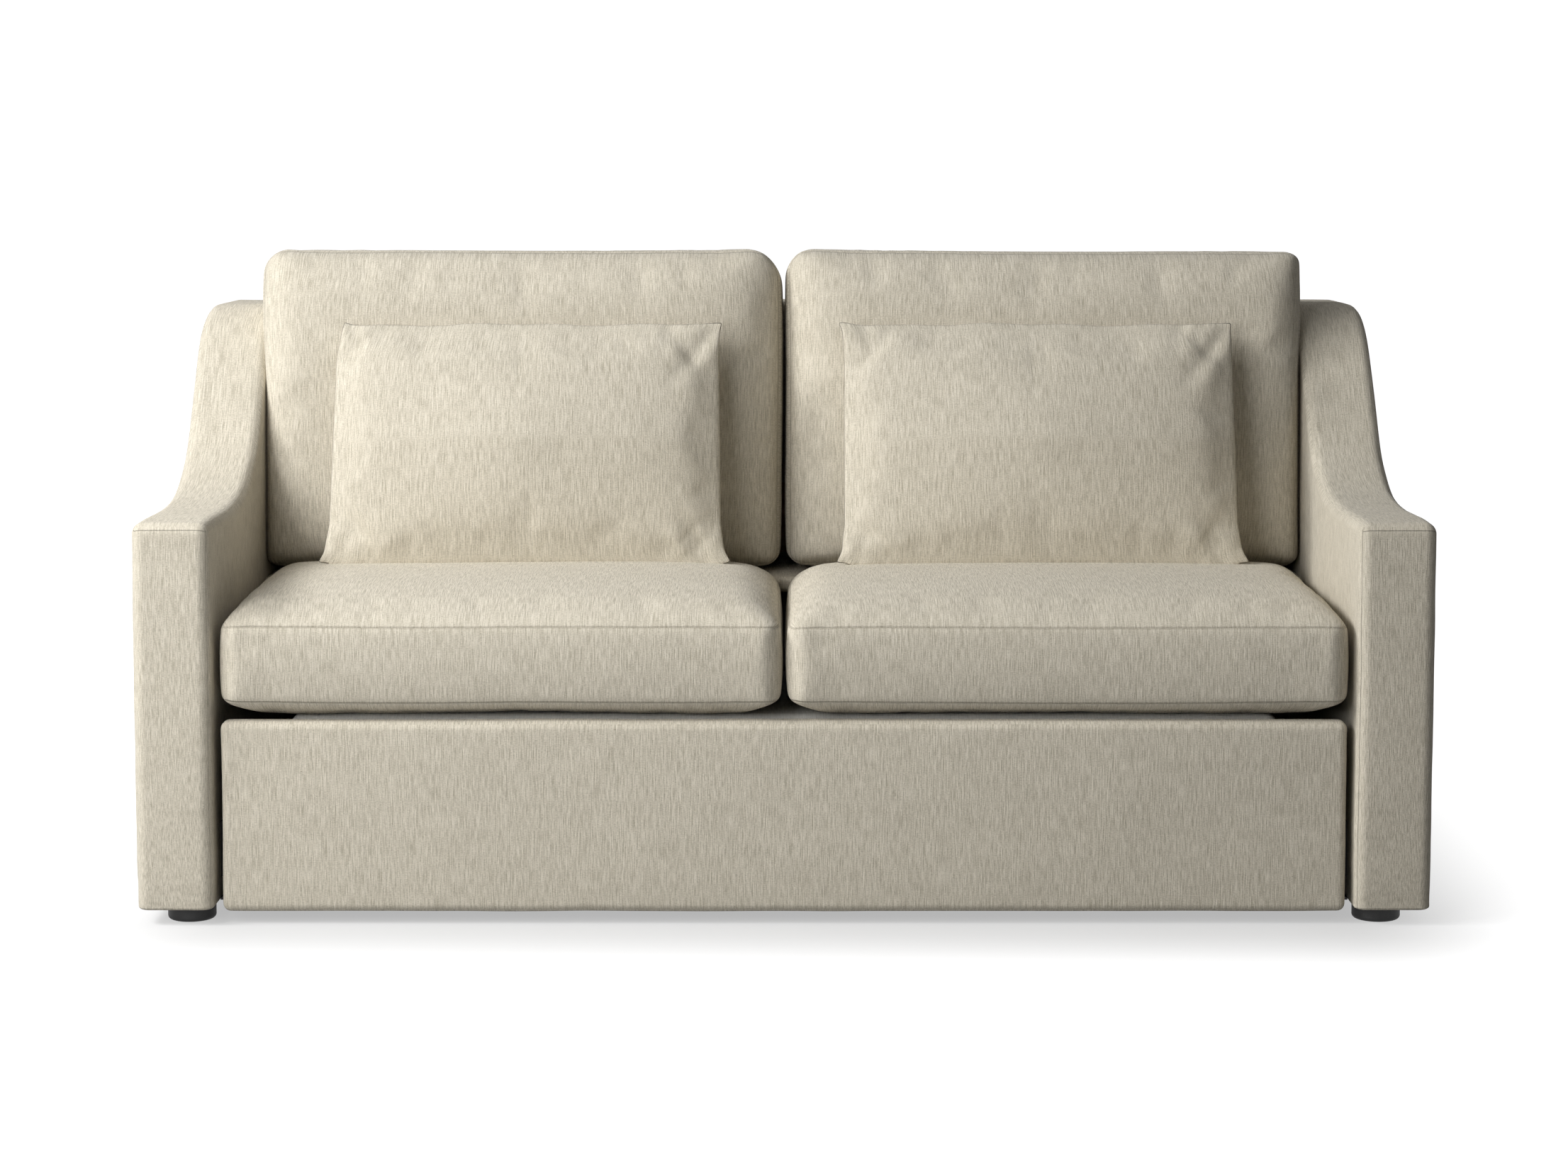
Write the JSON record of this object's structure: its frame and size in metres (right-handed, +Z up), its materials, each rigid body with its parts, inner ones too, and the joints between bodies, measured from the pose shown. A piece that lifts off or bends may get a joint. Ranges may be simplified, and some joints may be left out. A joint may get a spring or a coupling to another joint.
{
  "type": "sleeper sofa with pull-out bed",
  "caption": "Upholstered sleeper sofa with swooped arms, loose seat and back cushions, lumbar pillows and a folding pull-out bed on lift links.",
  "frame": {"origin": "floor level under the centre of the sofa's footprint", "axes": "+X to the right as seen from the front, -Y to the front where the bed comes out, +Z up"},
  "size_m": [1.98, 0.99, 1.0123],
  "materials": {
    "linen": "woven slub upholstery, matt",
    "foot_black": "matt",
    "ply": "raw plywood",
    "bolt_steel": "zinc plated",
    "frame_paint": "satin powder coat",
    "ticking": "woven mattress ticking",
    "deck_cloth": "woven deck cloth",
    "webbing": "woven webbing",
    "glide_rubber": "matt"
  },
  "bodies": {
    "sofa_base": {"arm_cover_left": "linen", "arm_cover_right": "linen", "arm_frame_left": "ply", "arm_frame_right": "ply", "back_cover": "linen", "back_frame": "ply", "back_ledge": "linen", "ledge_cleats": "ply", "feet": "foot_black", "foot_bolts": "bolt_steel", "front_stretcher": "frame_paint", "dust_cover": "webbing", "rail_packers": "ply", "mechanism_rails": "frame_paint", "rail_bolts": "bolt_steel", "link_root_pins": "bolt_steel"},
    "rear_links": {"rear_lift_links": "frame_paint"},
    "front_links": {"front_lift_links": "frame_paint"},
    "head_section": {"head_frame": "frame_paint", "head_deck": "deck_cloth", "head_deck_springs": "bolt_steel", "mattress_head": "ticking", "head_hinge_pins": "bolt_steel"},
    "body_section": {"body_frame": "frame_paint", "panel_screws": "bolt_steel", "panel_board": "ply", "front_panel": "linen", "body_deck": "ply", "mattress_body": "ticking", "body_hinge_pins": "bolt_steel"},
    "mid_section": {"mid_frame": "frame_paint", "mid_deck": "deck_cloth", "mid_deck_springs": "bolt_steel", "mattress_mid": "ticking", "mid_hinge_pins": "bolt_steel"},
    "foot_section": {"foot_frame": "frame_paint", "foot_deck": "deck_cloth", "foot_deck_springs": "bolt_steel", "mattress_foot": "ticking", "pull_strap": "webbing"},
    "mid_leg_pair": {"mid_legs": "frame_paint", "mid_leg_glides": "glide_rubber"},
    "foot_leg_pair": {"foot_legs": "frame_paint", "foot_leg_glides": "glide_rubber"},
    "seat_left": {"seat_cushion_left": "linen"},
    "seat_right": {"seat_cushion_right": "linen"},
    "pillow_left": {"lumbar_pillow_left": "linen"},
    "pillow_right": {"lumbar_pillow_right": "linen"},
    "back_left": {"back_cushion_left": "linen"},
    "back_right": {"back_cushion_right": "linen"}
  },
  "joints": [
    {"name": "bed_pull_out", "type": "hinge", "parent": "sofa_base", "child": "rear_links", "pos_m": [0, -0.10813, 0.10486], "axis": [1, 0, 0], "range_deg": [0, 105]},
    {"name": "front_link_swing", "type": "hinge", "parent": "sofa_base", "child": "front_links", "pos_m": [0, -0.40813, 0.10486], "axis": [1, 0, 0], "range_deg": [0, 105]},
    {"name": "head_section_level", "type": "hinge", "parent": "rear_links", "child": "head_section", "pos_m": [0, 0.119, 0.044], "axis": [1, 0, 0], "range_deg": [-105, 0]},
    {"name": "body_section_turn", "type": "hinge", "parent": "head_section", "child": "body_section", "pos_m": [0, -0.431, 0.044], "axis": [1, 0, 0], "range_deg": [0, 90]},
    {"name": "mid_section_unfold", "type": "hinge", "parent": "body_section", "child": "mid_section", "pos_m": [0, -0.431, 0.213], "axis": [1, 0, 0], "range_deg": [0, 90]},
    {"name": "foot_section_level", "type": "hinge", "parent": "mid_section", "child": "foot_section", "pos_m": [0, 0.027, 0.22175], "axis": [1, 0, 0], "range_deg": [-180, 0]},
    {"name": "mid_legs_drop", "type": "hinge", "parent": "mid_section", "child": "mid_leg_pair", "pos_m": [0, -0.303, 0.213], "axis": [1, 0, 0], "range_deg": [0, 90]},
    {"name": "foot_legs_drop", "type": "hinge", "parent": "foot_section", "child": "foot_leg_pair", "pos_m": [0, -0.398, 0.2305], "axis": [1, 0, 0], "range_deg": [-90, 0]},
    {"name": "seat_cushion_left_lift", "type": "slide", "parent": "foot_section", "child": "seat_left", "axis": [0, 0, 1], "range_m": [0, 0.25]},
    {"name": "lumbar_pillow_left_lift", "type": "slide", "parent": "seat_left", "child": "pillow_left", "axis": [0, -0.342, 0.9397], "range_m": [0, 0.3]},
    {"name": "back_cushion_left_lift", "type": "slide", "parent": "sofa_base", "child": "back_left", "axis": [0, 0.1056, 0.9944], "range_m": [0, 0.3]},
    {"name": "seat_cushion_right_lift", "type": "slide", "parent": "foot_section", "child": "seat_right", "axis": [0, 0, 1], "range_m": [0, 0.25]},
    {"name": "lumbar_pillow_right_lift", "type": "slide", "parent": "seat_right", "child": "pillow_right", "axis": [0, -0.342, 0.9397], "range_m": [0, 0.3]},
    {"name": "back_cushion_right_lift", "type": "slide", "parent": "sofa_base", "child": "back_right", "axis": [0, 0.1056, 0.9944], "range_m": [0, 0.3]}
  ],
  "couplings": [
    {"joint": "front_link_swing", "follows": "bed_pull_out", "ratio": 1},
    {"joint": "head_section_level", "follows": "bed_pull_out", "ratio": -1},
    {"joint": "body_section_turn", "follows": "bed_pull_out", "ratio": 0.85714},
    {"joint": "mid_section_unfold", "follows": "bed_pull_out", "ratio": 0.85714},
    {"joint": "foot_section_level", "follows": "bed_pull_out", "ratio": -1.7143},
    {"joint": "mid_legs_drop", "follows": "bed_pull_out", "ratio": 0.85714},
    {"joint": "foot_legs_drop", "follows": "bed_pull_out", "ratio": -0.85714}
  ]
}
